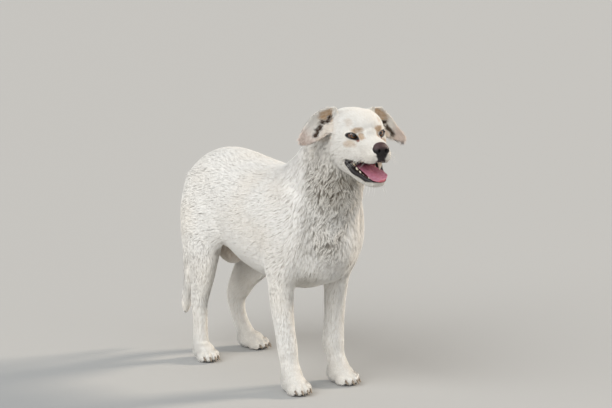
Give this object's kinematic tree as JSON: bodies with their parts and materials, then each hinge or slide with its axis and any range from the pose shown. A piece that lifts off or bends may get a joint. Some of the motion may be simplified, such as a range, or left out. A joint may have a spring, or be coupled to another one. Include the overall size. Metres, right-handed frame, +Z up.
{
  "type": "dog",
  "caption": "Life-size standing dog, pale coated, mouth open with the tongue showing and ears out to the sides, as a still display model that rests on its feet.",
  "frame": {"origin": "on the floor, under the middle of the whole body: the bottom centre of the bounding box", "axes": "+Z up, the dog looks along -Y, its left side is on +X"},
  "size_m": [0.2876, 0.93, 0.7285],
  "materials": {
    "coat": "thick straight pale cream coat",
    "ear_coat": "short soft tan coat",
    "nose_leather": "moist pebbled skin",
    "eye": "polished brown eye",
    "tongue": "wet pink",
    "teeth": "cream enamel",
    "claw": "dull horn"
  },
  "bodies": {
    "root": {"ear_left": "ear_coat", "ear_right": "ear_coat", "eye_left": "eye", "eye_right": "eye", "fore_claw_left_1": "claw", "fore_claw_left_2": "claw", "fore_claw_left_3": "claw", "fore_claw_left_4": "claw", "fore_claw_right_1": "claw", "fore_claw_right_2": "claw", "fore_claw_right_3": "claw", "fore_claw_right_4": "claw", "fore_paw_left": "coat", "fore_paw_right": "coat", "foreleg_left": "coat", "foreleg_right": "coat", "head": "coat", "hind_claw_left_1": "claw", "hind_claw_left_2": "claw", "hind_claw_left_3": "claw", "hind_claw_left_4": "claw", "hind_claw_right_1": "claw", "hind_claw_right_2": "claw", "hind_claw_right_3": "claw", "hind_claw_right_4": "claw", "hind_leg_left": "coat", "hind_leg_right": "coat", "hind_paw_left": "coat", "hind_paw_right": "coat", "lower_jaw": "coat", "lower_teeth": "teeth", "neck": "coat", "nose": "nose_leather", "tail": "coat", "tongue": "tongue", "trunk": "coat", "upper_teeth": "teeth"}
  },
  "joints": []
}
